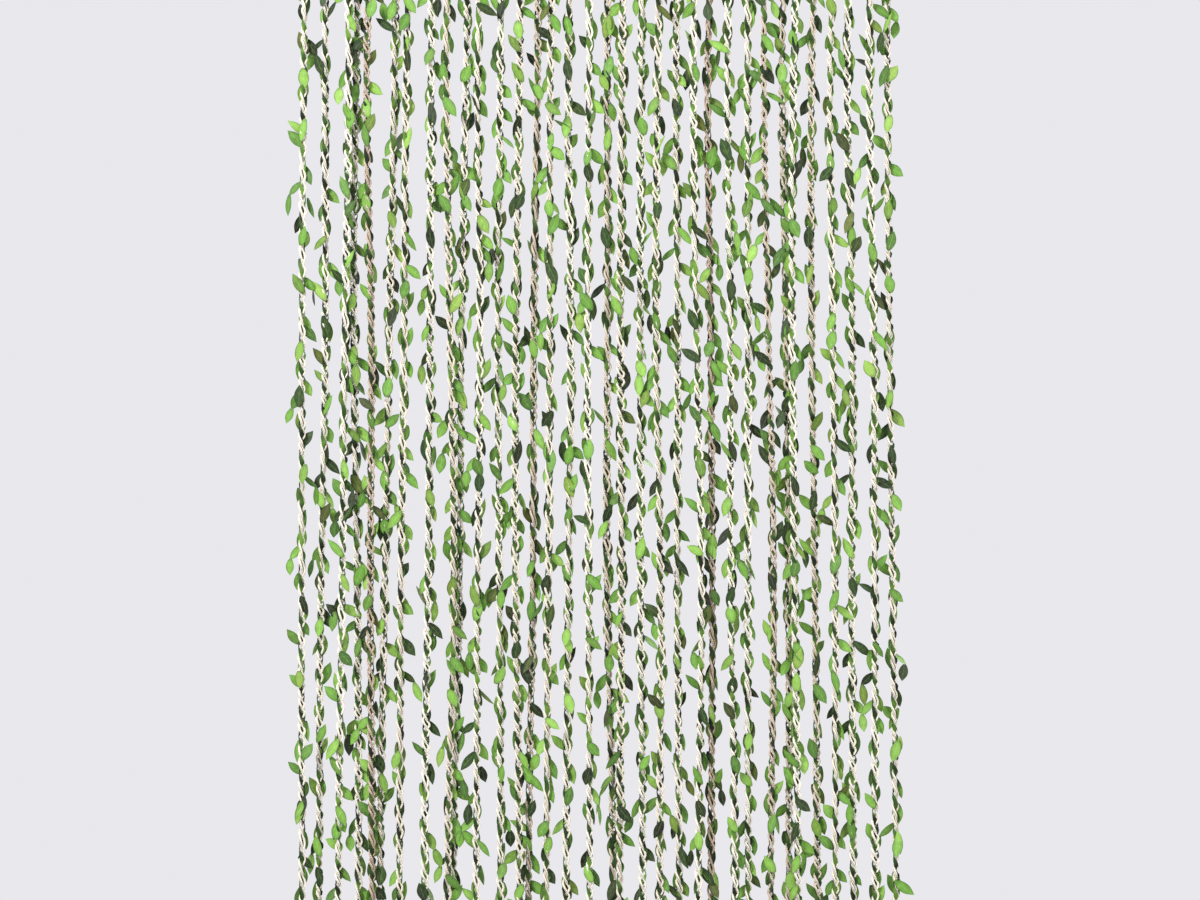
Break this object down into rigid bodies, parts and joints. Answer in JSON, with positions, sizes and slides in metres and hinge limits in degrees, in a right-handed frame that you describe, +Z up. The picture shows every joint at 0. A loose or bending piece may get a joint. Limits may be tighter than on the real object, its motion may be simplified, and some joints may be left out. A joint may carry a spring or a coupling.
{
  "type": "door curtain",
  "caption": "Door curtain of hanging plaits, each of cream cords and a green leaf ribbon, sewn side by side into a cloth tape at the top.",
  "frame": {"origin": "middle of the curtain's top edge, where it is held up", "axes": "+Z up, the plaits hang towards -Z; X runs across the doorway; the front faces -Y"},
  "size_m": [0.9206, 0.031, 2],
  "materials": {
    "tape_cloth": "woven cream cotton tape",
    "cream_cord": "soft twisted cream cord, matt",
    "leaf_green": "pressed green cloth leaf, slight satin sheen"
  },
  "bodies": {
    "root": {"heading_tape": "tape_cloth", "cream_cords": "cream_cord", "leaf_ribbons": "leaf_green"}
  },
  "joints": []
}
